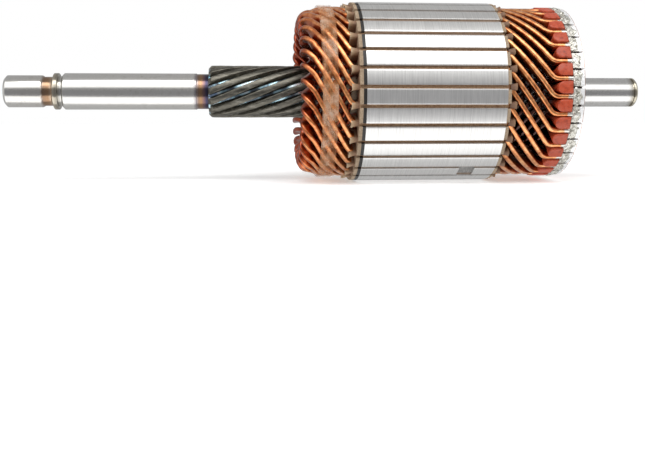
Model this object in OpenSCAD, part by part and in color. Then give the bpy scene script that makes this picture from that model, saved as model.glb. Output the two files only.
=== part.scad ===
// Armature of a four-pole starter motor with a wave winding of flat copper bars
// and a face commutator. The shaft lies along X, with the drive end at -X.

/* [Shaft] */
// Diameter of the plain shaft that carries the drive
shaft_d = 12.7; // [12:0.05:14]
// Length of the plain shaft
shaft_len = 46; // [38:0.5:60]
// Diameter of the drive-end journal
nose_d = 11.1; // [9:0.05:11.8]
// Length of the drive-end journal
nose_len = 13.2; // [8:0.1:20]
// Diameter of the commutator-end journal
journal_d = 10.5; // [8:0.05:12]
// Length of the commutator-end journal, up to its ring groove
journal_len = 27.4; // [16:0.1:34]
// Width of the oil groove behind the drive-end journal, with its sloping flank
oil_groove_w = 3.6; // [1.5:0.1:5]
// Diameter at the bottom of the oil groove
oil_groove_d = 10.1; // [8:0.05:10.5]
// Width of the stop collar
collar_w = 1.6; // [1.2:0.1:4]
// Width of the stop-ring groove beside the collar
stop_groove_w = 1.3; // [0.8:0.1:2]
// Diameter at the bottom of the stop-ring groove
stop_groove_d = 10.5; // [8.5:0.05:11]
// Width of the retaining-ring groove at the commutator end
ring_groove_w = 0.6; // [0.5:0.05:1.5]
// Depth of the retaining-ring groove
ring_groove_depth = 0.5; // [0.3:0.05:0.9]
// Width of the land outside the retaining-ring groove
end_land_w = 1.4; // [1:0.1:3]
// Length of the undercut neck beside the spline
neck_len = 4.3; // [2:0.1:8]
// Depth of the undercut neck below the plain shaft
neck_depth = 0.2; // [0.2:0.05:0.4]
// Chamfer on the turned edges
edge_chamfer = 0.6; // [0.2:0.05:0.8]
// Diameter of the seat that the laminations are pressed on
core_seat_d = 17; // [15.5:0.1:17.8]
// Diameter of the seat that the commutator is pressed on
commutator_seat_d = 14.4; // [13:0.1:15]

/* [Helical spline] */
// Number of spline teeth
spline_teeth = 14; // [10:1:18]
// Outside diameter of the spline
spline_d = 18.3; // [17.8:0.1:20]
// Length of the spline
spline_len = 35.4; // [25:0.1:45]
// Depth of the tooth spaces
spline_depth = 1.7; // [1:0.1:2]
// Distance from the core to the spline's inner end
spline_inset = 16.6; // [8:0.1:20]
// Length in which a tooth makes one whole turn
spline_lead = 130; // [90:1:200]
// Share of the tooth pitch taken by the land
spline_land = 0.54; // [0.4:0.01:0.65]

/* [Laminated core] */
// Diameter of the core
core_d = 63.5; // [62:0.1:68]
// Length of the stack
core_len = 46.8; // [30:0.1:70]
// Number of slots, coils and commutator segments
slots = 31; // [27:2:31]
// Width of the slot opening between two tooth tips
slot_mouth = 1.25; // [0.8:0.05:1.6]
// Thickness of the tooth tip over the slot
tooth_tip = 1.05; // [0.7:0.05:1.4]
// Thickness of the heavier lamination at the drive end of the stack
end_lamination_t = 1.1; // [0.4:0.05:1.5]
// Thickness of the fibre disc at the drive end
drive_disc_t = 1.2; // [0.8:0.1:2]
// Thickness of the fibre disc at the commutator end
commutator_disc_t = 1.2; // [0.6:0.1:1.4]
// Depth of the balancing cut milled across one tooth
balance_cut = 0.5; // [0.1:0.1:0.9]
// Width of the balancing cut along the core
balance_cut_w = 5.3; // [2:0.1:12]
// Distance from the balancing cut to the commutator end of the core
balance_cut_inset = 7.3; // [2:0.1:20]
// Turn of slot 1 from the -Y side towards +Z, in degrees
slot_turn = 2; // [0:0.5:11]

/* [Winding] */
// Thickness of a copper bar
bar_t = 1.6; // [1.2:0.05:1.7]
// Height of a copper bar, measured radially
bar_h = 4; // [3:0.05:4.2]
// Gap between the two layers of bars
layer_gap = 0.6; // [0.6:0.05:0.8]
// Thickness of the slot liner
liner_t = 0.25; // [0.15:0.05:0.35]
// Slots from one side of a coil to the other
coil_span = 9; // [7:2:9]
// Slot pitches from a slot to its riser
riser_shift = 3.5; // [2.5:1:3.5]
// Length of the drive-end overhang, from the core to the tips of the coils
overhang = 21.2; // [19.5:0.1:25]
// Inward set of the coil ends at their tips
tip_set = 1.5; // [0:0.1:2]
// Length over which the coil ends are set inward
tip_set_len = 4; // [2:0.1:6]
// Further gap by which each layer parts from the other at the tips
tip_gap = 0.3; // [0.3:0.05:0.5]
// Radius of the bend where a bar leaves the core at the drive end
bend_r = 3.4; // [1.5:0.1:4]
// Radius of the bend where a bar leaves the core at the commutator end
comm_bend_r = 1; // [0.8:0.1:2]
// Radius of the bend where a bar turns into its riser
riser_bend_r = 3.5; // [2:0.1:4]
// Length of the paper cuffs at the drive end
drive_cuff_len = 2.6; // [2.2:0.1:3.4]
// Length of the paper cuffs at the commutator end
commutator_cuff_len = 2.2; // [1.5:0.1:3.5]
// Thickness of the folded cuffs
cuff_t = 0.3; // [0.2:0.05:0.35]
// Depth of the cuffs' outer fold below the core's surface
cuff_inset = 0.15; // [0.1:0.05:0.6]
// Width of the glass band round the drive-end overhang
band_w = 5.2; // [3:0.1:8]
// Thickness of the glass band
band_t = 0.35; // [0.2:0.05:0.8]
// Distance from the core to the glass band
band_gap = 9.1; // [7:0.1:10]

/* [Commutator] */
// Depth of the risers' ends below the core's surface
riser_inset = 1.55; // [1.5:0.05:1.8]
// Distance from the core to the brush face
face_distance = 26.7; // [26:0.1:34]
// Inner diameter of the brush face
face_bore = 25; // [22:0.5:32]
// Thickness of the segments at the brush face
segment_t = 3; // [2.4:0.1:3.4]
// Depth of the risers behind the brush face
riser_depth = 4; // [3.7:0.1:5]
// Width of the undercut between two segments
undercut_w = 0.8; // [0.5:0.05:1]
// Depth of the undercut below the brush face
undercut_depth = 0.9; // [0.4:0.05:1.2]
// Depth of the hub's castellations below the core's surface
hub_inset = 1.25; // [1:0.05:1.3]
// Length of the castellations between the bars
castellation_len = 5.2; // [4:0.1:6]
// Width of the solder over a riser's slot
solder_w = 3.4; // [2.4:0.1:4]
// Outer diameter of the steel bush
bush_d = 17.9; // [17:0.1:20]

/* [Hidden] */
$fn = 96;
eps = 0.01;
// Working clearances: between pieces side by side, and face to face
side_gap = 0.05;
face_gap = 0.03;
// Play between the liner and the upper bar
slot_play = 0.3;

// Radii and angles that the slots and the two layers of bars share
slot_pitch = 360 / slots;
core_r = core_d / 2;
shaft_r = shaft_d / 2;
seat_r = core_seat_d / 2;
slot_top_r = core_r - tooth_tip;
upper_r = slot_top_r - liner_t - side_gap - slot_play - bar_h / 2;
lower_r = upper_r - bar_h - layer_gap;
slot_floor_r = lower_r - bar_h / 2 - liner_t - 2 * side_gap;
slot_w = bar_t + 2 * liner_t + 4 * side_gap;
winding_r = upper_r + bar_h / 2;
winding_bore_r = lower_r - bar_h / 2;
commutator_r = core_r - riser_inset;
hub_r = core_r - hub_inset;

// Stations along X from the middle of the core
core_end = core_len / 2;
stack_end = core_end + end_lamination_t;
drive_disc_end = stack_end + drive_disc_t;
comm_disc_end = core_end + commutator_disc_t;
drive_bend = drive_disc_end + 4 * face_gap;
comm_bend = comm_disc_end - 0.5;
brush_face = core_end + face_distance;
riser_back = brush_face - riser_depth;
riser_floor = brush_face - 1.3;
bar_end = riser_floor - 2 * side_gap;
castellation_end = riser_back - 2 * side_gap;
castellation_start = castellation_end - castellation_len;
hub_end = brush_face + 0.3;
hub_bore_r = bush_d / 2;
bush_end = hub_end + 0.2;

// The coil end: a half turn in the plane of the axis from the upper to the lower layer
nose_turn_r = (upper_r - lower_r) / 2 + tip_gap;
nose_x = core_end + overhang - nose_turn_r - bar_h / 2;
nose_mid_r = (upper_r + lower_r) / 2 - tip_set;
set_start = nose_x - tip_set_len;

// Stations of the shaft, counted outwards from the core
spline_end = core_end + spline_inset;
spline_start = spline_end + spline_len;
neck_start = spline_start + neck_len;
plain_start = neck_start + shaft_len;
stop_start = plain_start + stop_groove_w;
collar_start = stop_start + collar_w;
oil_start = collar_start + oil_groove_w;
nose_start = oil_start + nose_len;
journal_start = bush_end + 0.3;
ring_groove_start = journal_start + journal_len;
shaft_end = ring_groove_start + ring_groove_w + end_land_w;

// Turn of the spline's first tooth at its free end
spline_turn = 24;

// The frame's origin is the middle of the commutator-end journal
origin_x = journal_start + journal_len / 2;

COILS = ["coil_01", "coil_02", "coil_03", "coil_04", "coil_05", "coil_06", "coil_07",
    "coil_08", "coil_09", "coil_10", "coil_11", "coil_12", "coil_13", "coil_14",
    "coil_15", "coil_16", "coil_17", "coil_18", "coil_19", "coil_20", "coil_21",
    "coil_22", "coil_23", "coil_24", "coil_25", "coil_26", "coil_27", "coil_28",
    "coil_29", "coil_30", "coil_31"];

// ---------- Placing ----------

// Puts a piece drawn about the middle of the core into the part's frame
module in_frame() translate([-origin_x, 0, 0]) children();

// Turns a piece drawn on the -Y side to an angle from -Y towards +Z
module turned(angle) rotate([-angle, 0, 0]) children();

// Repeats a piece drawn on the -Y side at every slot, or between the slots
module round_slots(offset = 0)
    for (i = [0 : slots - 1]) turned(slot_turn + (i + offset) * slot_pitch) children();

// A ring about the shaft from station a to station b
module ring(a, b, outer_r, inner_r)
    translate([a, 0, 0]) rotate([0, 90, 0]) linear_extrude(b - a) difference() {
        circle(outer_r);
        circle(inner_r);
    }

// A block on the -Y side between two stations and two radii
module radial_block(a, b, inner_r, outer_r, width)
    translate([a, -outer_r, -width / 2]) cube([b - a, outer_r - inner_r, width]);

// ---------- Sweeping flat bars ----------

// A station of a bar is [x, angle, radius, tilt]: tilt is 0 while the bar's height
// is radial, and turns through 180 degrees round the coil end
function radial(angle) = [0, -cos(angle), sin(angle)];
function place(s) = [s[0], 0, 0] + s[2] * radial(s[1]);
function height_dir(s) = [-sin(s[3]), 0, 0] + cos(s[3]) * radial(s[1]);
function unit(v) = v / norm(v);
function backwards(list) = [for (i = [len(list) - 1 : -1 : 0]) list[i]];

// Direction of travel at station i
function travel(path, i) =
    unit(place(path[min(i + 1, len(path) - 1)]) - place(path[max(i - 1, 0)]));

// The four corners of the bar's section at station i, cut square to its run
function section(path, i, t, h) =
    let (up = height_dir(path[i]),
         across = unit(cross(travel(path, i), up)))
    corners(place(path[i]), up, across, t, h);

// The same where the cut is square to the shaft
function shaft_section(path, i, t, h) =
    let (up = height_dir(path[i]), run = travel(path, i), side = cross([1, 0, 0], up))
    corners(place(path[i]), up, side / run[0], t, h);

function corners(p, up, across, t, h) =
    [p - up * h / 2 - across * t / 2, p - up * h / 2 + across * t / 2,
     p + up * h / 2 + across * t / 2, p + up * h / 2 - across * t / 2];

// Faces of the wall between two rings of n points, a and b being their first points
function wall(a, b, n) =
    [for (j = [0 : n - 1]) let (k = (j + 1) % n) each
        [[a + j, b + j, b + k], [a + j, b + k, a + k]]];

// A solid bar of thickness t and height h along a path
module swept_bar(path, t, h) {
    last = len(path) - 1;
    polyhedron(
        [for (i = [0 : last]) each section(path, i, t, h)],
        concat(
            [[0, 1, 2], [0, 2, 3]],
            [for (i = [0 : last - 1]) each wall(4 * i, 4 * i + 4, 4)],
            [[4 * last + 2, 4 * last + 1, 4 * last], [4 * last + 3, 4 * last + 2, 4 * last]]));
}

// A sleeve with ends square to the shaft: an opening of t by h and a wall of w
module swept_sleeve(path, t, h, w) {
    last = len(path) - 1;
    count = 4 * (last + 1);
    outer = [for (i = [0 : last]) each shaft_section(path, i, t + 2 * w, h + 2 * w)];
    inner = [for (i = [0 : last]) each shaft_section(path, i, t, h)];
    polyhedron(
        concat(outer, inner),
        concat(
            wall(count, 0, 4),
            [for (i = [0 : last - 1]) each wall(4 * i, 4 * i + 4, 4)],
            [for (i = [0 : last - 1]) each wall(count + 4 * i + 4, count + 4 * i, 4)],
            wall(4 * last, count + 4 * last, 4)));
}

// ---------- The run of a coil ----------

// Straight run and slope of a bend, a slant and a second bend that together go
// ahead by l and aside by s, with bend radii a and b
function slant_run(l, s, a, b) = sqrt(l * l + (s - a - b) * (s - a - b) - (a + b) * (a + b));
function slant_angle(l, s, a, b) = atan2(s - a - b, l) + atan2(a + b, slant_run(l, s, a, b));

// Points [ahead, aside] of that run, with na, nl and nb steps in its three stretches
function slant(l, s, a, b, na, nl, nb) =
    let (v = slant_angle(l, s, a, b), run = slant_run(l, s, a, b),
         x1 = a * sin(v), y1 = a * (1 - cos(v)))
    concat(
        [for (i = [0 : na - 1]) [a * sin(v * i / na), a * (1 - cos(v * i / na))]],
        [for (i = [0 : nl]) [x1 + run * i / nl * cos(v), y1 + run * i / nl * sin(v)]],
        [for (i = [1 : nb]) let (w = v * (1 - i / nb)) [l - b * sin(w), s - b * (1 - cos(w))]]);

function deg(arc, r) = arc / r * 180 / PI;
function arc(angle, r) = angle * PI / 180 * r;

// The layers set in towards the shaft as they near the coil ends
function ease(t) = let (c = max(0, min(1, t))) c * c * (3 - 2 * c);
function set_in(x, side) =
    (tip_set - side * tip_gap) * ease((x - set_start) / (nose_x - set_start));

// Commutator end of one leg, from the slot outwards; side is -1 or 1
upper_arrival = castellation_start + 0.8;
lower_arrival = castellation_start - 0.2;
function comm_leg(angle, r, side, arrive) =
    let (pts = slant(arrive - comm_bend, arc(riser_shift * slot_pitch, r),
                     comm_bend_r, riser_bend_r, 2, 3, 3))
    concat([for (p = pts) [comm_bend + p[0], angle + side * deg(p[1], r), r, 0]],
           [[bar_end, angle + side * riser_shift * slot_pitch, r, 0]]);

// Drive end of one leg, from the slot to the start of the half turn. The slant runs
// on through the half turn, so it is laid out to the tip of the bar's middle line.
half_span = coil_span / 2 * slot_pitch;
tip_x = nose_x + nose_turn_r;
function drive_slope(r) = slant_angle(tip_x - drive_bend, arc(half_span, r), bend_r, 0);
function nose_lag(r) = deg(nose_turn_r * tan(drive_slope(r)), r);
function drive_leg(angle, r, side) =
    let (v = drive_slope(r), x1 = bend_r * sin(v), y1 = bend_r * (1 - cos(v)),
         ahead = nose_x - drive_bend, steps = 4)
    concat(
        [for (i = [0 : 1]) let (w = v * i / 2)
            [-drive_bend - bend_r * sin(w), angle + side * deg(bend_r * (1 - cos(w)), r), r, 0]],
        [for (i = [0 : steps]) let (x = x1 + (ahead - x1) * i / steps)
            [-drive_bend - x, angle + side * deg(y1 + (x - x1) * tan(v), r),
             r - set_in(drive_bend + x, side), 0]]);

// The half turn itself, from the upper layer at tilt 0 to the lower one at 180
nose_steps = 6;
function nose(angle) =
    [for (i = [1 : nose_steps - 1]) let (w = 180 * i / nose_steps)
        [-nose_x - nose_turn_r * sin(w),
         angle + (w < 90 ? -nose_lag(upper_r) : nose_lag(lower_r)) * (1 - sin(w)),
         nose_mid_r + nose_turn_r * cos(w), w]];

function tilted(path, tilt) = [for (s = path) [s[0], s[1], s[2], tilt]];

// Whole run of coil i: riser, upper layer, coil end, lower layer, riser
function coil_path(i) =
    let (up = slot_turn + i * slot_pitch, down = up + coil_span * slot_pitch)
    concat(
        backwards(comm_leg(up, upper_r, -1, upper_arrival)),
        drive_leg(up, upper_r, 1),
        nose(up + half_span),
        tilted(backwards(drive_leg(down, lower_r, -1)), 180),
        tilted(comm_leg(down, lower_r, 1, lower_arrival), 180));

// The stretches of the upper bars that the paper cuffs cover, along the middle of a cuff
cuff_floor_r = upper_r - bar_h / 2 - 4 * side_gap;
cuff_top_r = core_r - cuff_inset - cuff_t;
cuff_r = (cuff_floor_r + cuff_top_r) / 2;
function between(a, b, x) =
    let (k = (x - a[0]) / (b[0] - a[0])) [x, a[1] + (b[1] - a[1]) * k, cuff_r, 0];
function drive_cuff_path(angle) =
    let (leg = drive_leg(angle, upper_r, 1), x0 = -drive_disc_end - face_gap)
    [[x0, angle, cuff_r, 0],
     between(leg[0], leg[1], leg[1][0]),
     between(leg[1], leg[2], x0 - drive_cuff_len)];
function comm_cuff_path(angle) =
    let (leg = comm_leg(angle, upper_r, -1, upper_arrival), x0 = comm_disc_end + face_gap)
    [between(leg[2], leg[3], x0), between(leg[2], leg[3], x0 + commutator_cuff_len)];

// ---------- Shaft ----------

// Half section of the turned shaft, as [station, radius] pairs from the drive end
module shaft_profile() {
    c = edge_chamfer;
    nose_r = nose_d / 2;
    oil_r = oil_groove_d / 2;
    stop_r = stop_groove_d / 2;
    neck_r = shaft_r - neck_depth;
    root_r = spline_d / 2 - spline_depth - 0.2;
    blank_r = spline_d / 2 + 0.15;
    comm_r = commutator_seat_d / 2;
    end_r = journal_d / 2;
    groove_r = end_r - ring_groove_depth;
    shoulder = drive_disc_end + 0.4;
    polygon([
        [-nose_start, 0],
        [-nose_start, nose_r - 1.6 * c], [-nose_start + 1.6 * c, nose_r],
        [-oil_start - c, nose_r], [-oil_start, nose_r - c / 2],
        [-oil_start, oil_r], [-collar_start - c, oil_r],
        [-collar_start, shaft_r], [-stop_start - c / 3, shaft_r],
        [-stop_start, shaft_r - c / 3], [-stop_start, stop_r],
        [-plain_start, stop_r], [-plain_start, shaft_r - c],
        [-plain_start + c, shaft_r], [-neck_start, shaft_r],
        [-neck_start, neck_r], [-spline_start + 2, neck_r],
        [-spline_start + 2, root_r], [-spline_end, root_r],
        [-spline_end, blank_r], [-shoulder, blank_r],
        [-shoulder, seat_r], [comm_disc_end, seat_r],
        [comm_disc_end + 1, comm_r], [journal_start, comm_r],
        [journal_start, end_r], [ring_groove_start, end_r],
        [ring_groove_start, groove_r], [ring_groove_start + ring_groove_w, groove_r],
        [ring_groove_start + ring_groove_w, end_r],
        [shaft_end - c, end_r], [shaft_end, end_r - c], [shaft_end, 0]]);
}

// One ring of the spline's outline at station x, with its tips at radius tip_r
function spline_ring(x, tip_r) =
    let (pitch = 360 / spline_teeth, root_r = spline_d / 2 - spline_depth,
         half = pitch * spline_land / 2, foot = half + pitch * 0.13,
         turn = 360 * (x + spline_start) / spline_lead)
    [for (i = [0 : spline_teeth - 1]) let (a = i * pitch + turn) each
        [[x, 0, 0] + root_r * radial(a - foot), [x, 0, 0] + tip_r * radial(a - half),
         [x, 0, 0] + tip_r * radial(a + half), [x, 0, 0] + root_r * radial(a + foot)]];

// The splined stretch as one solid, with its tips chamfered at the free end
module spline() {
    steps = 10;
    tip_r = spline_d / 2;
    n = 4 * spline_teeth;
    rings = concat(
        [spline_ring(-spline_start, tip_r - 1)],
        [for (i = [0 : steps])
            spline_ring(-spline_start + 1 + (spline_len - 0.5) * i / steps, tip_r)]);
    last = len(rings) - 1;
    hub = n * (last + 1);
    polyhedron(
        concat([for (r = rings) each r],
               [[-spline_start, 0, 0], [-spline_end + 0.5, 0, 0]]),
        concat(
            [for (j = [0 : n - 1]) [hub, (j + 1) % n, j]],
            [for (i = [0 : last - 1]) each wall(n * i + n, n * i, n)],
            [for (j = [0 : n - 1]) [hub + 1, n * last + j, n * last + (j + 1) % n]]));
}

module shaft() color("silver") in_frame() union() {
    rotate([0, 90, 0]) rotate_extrude() rotate(90) mirror([0, 1]) shaft_profile();
    turned(spline_turn) spline();
}

// ---------- Core ----------

// Section of one slot, drawn towards -Y: its body and its narrow mouth
module slot_section(body_w, mouth_w) {
    translate([-body_w / 2, -slot_top_r]) square([body_w, slot_top_r - slot_floor_r]);
    translate([-mouth_w / 2, -core_r - 1]) square([mouth_w, core_r + 1 - slot_floor_r]);
}

// A disc of the core's outline from station a to station b
module slotted_disc(a, b, outer_r, bore_r, body_w, mouth_w)
    translate([a, 0, 0]) rotate([0, 90, 0]) linear_extrude(b - a) difference() {
        circle(outer_r);
        circle(bore_r);
        for (i = [0 : slots - 1]) rotate(-slot_turn - i * slot_pitch)
            slot_section(body_w, mouth_w);
    }

module core_laminations() color("lightslategray") in_frame() difference() {
    slotted_disc(-core_end, core_end, core_r, seat_r, slot_w, slot_mouth);
    // Cut milled across one tooth to balance the armature
    turned(slot_turn - 5.5 * slot_pitch)
        radial_block(core_end - balance_cut_inset - balance_cut_w, core_end - balance_cut_inset,
                     core_r - balance_cut, core_r + 2, 5);
}

module end_lamination() color("dimgray") in_frame()
    slotted_disc(-stack_end, -core_end, core_r - 0.15, seat_r, slot_w, slot_mouth);

module drive_end_disc() color("tan") in_frame()
    slotted_disc(-drive_disc_end, -stack_end, core_r - 0.1, spline_d / 2 + 0.3, slot_w, slot_mouth);

module commutator_end_disc() color("tan") in_frame()
    slotted_disc(core_end, comm_disc_end, core_r - 0.1, seat_r + 0.3, slot_w + 0.5,
                 slot_mouth + 0.5);

// ---------- Slot insulation ----------

// Paper cells that line the slots, open at both ends
module slot_liners() color("peru") in_frame() round_slots() {
    half = comm_bend - 2 * side_gap;
    inner_w = bar_t + 2 * side_gap;
    top = slot_top_r - side_gap;
    floor_r = slot_floor_r + side_gap;
    difference() {
        radial_block(-drive_disc_end, half, floor_r, top, inner_w + 2 * liner_t);
        radial_block(-drive_disc_end - 1, half + 1, floor_r + liner_t, top - liner_t, inner_w);
    }
}

// Strips between the upper and the lower bar of each slot
module slot_separators() color("maroon") in_frame() round_slots() {
    middle = (upper_r + lower_r) / 2;
    half = layer_gap / 2 - 2 * side_gap;
    radial_block(-drive_disc_end, comm_bend - 2 * side_gap, middle - half, middle + half, bar_t);
}

module drive_end_cuffs() color("tan") in_frame()
    for (i = [0 : slots - 1])
        swept_sleeve(drive_cuff_path(slot_turn + i * slot_pitch),
                     bar_t + 9 * side_gap, cuff_top_r - cuff_floor_r, cuff_t);

module commutator_end_cuffs() color("tan") in_frame()
    for (i = [0 : slots - 1])
        swept_sleeve(comm_cuff_path(slot_turn + i * slot_pitch),
                     bar_t + 6 * side_gap, cuff_top_r - cuff_floor_r, cuff_t);

// ---------- Winding ----------

module coil(i) color("chocolate") in_frame() swept_bar(coil_path(i), bar_t, bar_h);

module winding_band() color("rosybrown") in_frame()
    ring(-core_end - band_gap - band_w, -core_end - band_gap,
         winding_r + 0.1 + band_t, winding_r + 0.1);

// ---------- Commutator ----------

// Section of all segments: a ring parted by the undercuts
module segment_section(inner_r)
    difference() {
        circle(commutator_r);
        circle(inner_r);
        for (i = [0 : slots - 1]) rotate(-slot_turn - i * slot_pitch)
            translate([-undercut_w / 2, -core_r]) square([undercut_w, core_r]);
    }

module commutator_segments() color("sandybrown") in_frame() difference() {
    union() {
        translate([brush_face - segment_t, 0, 0]) rotate([0, 90, 0])
            linear_extrude(segment_t) segment_section(face_bore / 2);
        translate([riser_back, 0, 0]) rotate([0, 90, 0])
            linear_extrude(riser_depth - segment_t + eps) segment_section(winding_bore_r - 0.1);
    }
    // Slots in the risers that take the ends of an upper and a lower bar
    round_slots(0.5)
        radial_block(riser_back - 1, riser_floor, winding_bore_r - 0.1, core_r,
                     bar_t + 4 * side_gap);
}

// One castellation: a wedge with a rounded end that parts two pairs of bar ends
module castellation(foot_r, top_r, bar_gap) {
    half_top = tan(slot_pitch / 2) * top_r - bar_gap / 2 / cos(slot_pitch / 2);
    half_foot = tan(slot_pitch / 2) * foot_r - bar_gap / 2 / cos(slot_pitch / 2);
    round_r = half_top * 1.06;
    intersection() {
        translate([castellation_start, 0, 0]) rotate([0, 90, 0])
            linear_extrude(castellation_len)
            polygon([[-half_foot, -foot_r], [half_foot, -foot_r], [half_top, -top_r],
                     [-half_top, -top_r]]);
        rotate([90, 0, 0]) linear_extrude(top_r + 1) {
            translate([castellation_start + round_r, 0]) circle(round_r);
            translate([castellation_start + round_r, -round_r])
                square([castellation_len, 2 * round_r]);
        }
    }
}

module commutator_hub() color("firebrick") in_frame() {
    barrel_r = winding_bore_r - 0.2;
    rib_r = commutator_r - 0.6;
    ring(castellation_start, brush_face - segment_t - face_gap, barrel_r, hub_bore_r);
    ring(brush_face - segment_t - face_gap - eps, hub_end, face_bore / 2 - face_gap, hub_bore_r);
    round_slots() castellation(barrel_r - 0.3, hub_r, bar_t + 8 * side_gap);
    // Ribs that fill the undercuts below the brush face
    round_slots() radial_block(castellation_end + side_gap, brush_face - undercut_depth,
                               face_bore / 2 - 1, rib_r, undercut_w - 2 * side_gap);
}

module commutator_bush() color("gray") in_frame()
    ring(castellation_start - 0.3, bush_end, hub_bore_r, commutator_seat_d / 2);

// Fillets of solder that bridge the slot of each riser, up to the castellations' height
module solder_beads() color("gainsboro") in_frame() round_slots(0.5) {
    foot_r = commutator_r + face_gap;
    half = solder_w / 2;
    slope = hub_r - foot_r;
    translate([riser_back, 0, 0]) rotate([0, 90, 0]) linear_extrude(riser_floor - riser_back)
        polygon([[-half, -foot_r], [half, -foot_r], [half - slope, -hub_r],
                 [slope - half, -hub_r]]);
}

// ---------- The part ----------

shaft();
core_laminations();
end_lamination();
drive_end_disc();
commutator_end_disc();
slot_liners();
slot_separators();
drive_end_cuffs();
commutator_end_cuffs();
winding_band();
commutator_hub();
commutator_bush();
commutator_segments();
solder_beads();
for (i = [0 : len(COILS) - 1])
    coil(i);
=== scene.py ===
import math
import bmesh
import bpy
from mathutils import Matrix, Vector, noise


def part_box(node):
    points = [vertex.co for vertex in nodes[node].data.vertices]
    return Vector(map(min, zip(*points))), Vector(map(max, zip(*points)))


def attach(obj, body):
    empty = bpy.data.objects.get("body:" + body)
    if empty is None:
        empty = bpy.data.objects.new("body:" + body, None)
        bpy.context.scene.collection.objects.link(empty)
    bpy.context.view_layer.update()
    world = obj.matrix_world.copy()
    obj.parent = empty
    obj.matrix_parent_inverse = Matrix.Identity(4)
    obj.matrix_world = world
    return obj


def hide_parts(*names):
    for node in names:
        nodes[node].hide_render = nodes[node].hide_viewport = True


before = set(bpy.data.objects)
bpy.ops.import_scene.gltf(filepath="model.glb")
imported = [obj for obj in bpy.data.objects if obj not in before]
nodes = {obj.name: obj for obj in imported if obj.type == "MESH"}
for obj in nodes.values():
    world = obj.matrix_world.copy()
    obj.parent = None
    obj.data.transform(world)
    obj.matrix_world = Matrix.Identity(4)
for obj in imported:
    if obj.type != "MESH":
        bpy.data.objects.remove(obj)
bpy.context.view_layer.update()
scene = bpy.context.scene
scene.view_settings.view_transform = "Standard"

# Everything below is laid out in millimetres from the middle of the core, along the
# shaft, and put in place in metres when a piece is settled. Angles are in degrees about
# the shaft, from -Y towards +Z.
MM = 0.001
core_low, core_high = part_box("core_laminations")
CORE_X = (core_low.x + core_high.x) / 2
CORE_R, CORE_END = 31.75, 23.4
END_SHEET_T = 1.1
DRIVE_DISC_END, COMMUTATOR_DISC_END = 25.7, 24.6
SLOTS = 31
PITCH = 360 / SLOTS
SLOT_TURN = 2.0
BAR_T, BAR_H = 1.6, 4.0
UPPER_R, LOWER_R = 28.1, 23.5
RISER_FLOOR = 48.8
CASTELLATION_START, CASTELLATION_END = 40.8, 46.0
HUB_R = 30.5
to_frame = Matrix.Translation((CORE_X, 0, 0)) @ Matrix.Scale(MM, 4)


# ---------- nodes of a material ----------

def srgb(hex_colour):
    """A colour written as sRGB hex, as the linear values that a shader takes."""
    parts = [int(hex_colour[i:i + 2], 16) / 255 for i in (1, 3, 5)]
    return tuple(c / 12.92 if c <= 0.04045 else ((c + 0.055) / 1.055) ** 2.4
                 for c in parts) + (1,)


def first_output(node):
    return next(s for s in node.outputs if not s.is_unavailable)


def add(tree, kind, inputs=None, ramp=None, to=None, **settings):
    """Adds a node with its settings and ramp. An input takes a value, a socket, or a node,
    which gives its first output, and to is the socket that the new node feeds."""
    made = tree.nodes.new("ShaderNode" + kind)
    for key, value in settings.items():
        setattr(made, key, value)
    for key, value in (inputs or {}).items():
        if isinstance(value, bpy.types.Node):
            value = first_output(value)
        if isinstance(value, bpy.types.NodeSocket):
            tree.links.new(value, made.inputs[key])
        else:
            made.inputs[key].default_value = value
    for i, (place, colour) in enumerate(ramp or []):
        stops = made.color_ramp.elements
        stop = stops[i] if i < 2 else stops.new(place)
        stop.position = place
        stop.color = srgb(colour)
    if to is not None:
        tree.links.new(first_output(made), to)
    return made


def finish(name, **shader):
    """A new material with its tree, the inputs of its shader, and Object coordinates in
    millimetres from the middle of the core."""
    made = bpy.data.materials.new(name)
    made.use_nodes = True
    tree = made.node_tree
    surface = tree.nodes["Principled BSDF"].inputs
    for key, value in shader.items():
        surface[key.replace("_", " ")].default_value = value
    place = add(tree, "TexCoord").outputs["Object"]
    mm = add(tree, "Mapping", {"Vector": place, "Location": (-CORE_X / MM, 0, 0),
                               "Scale": (1 / MM, 1 / MM, 1 / MM)})
    return made, tree, surface, mm


# ---------- materials ----------
# A ramp lists its first and last stops, and then the ones between.

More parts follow.
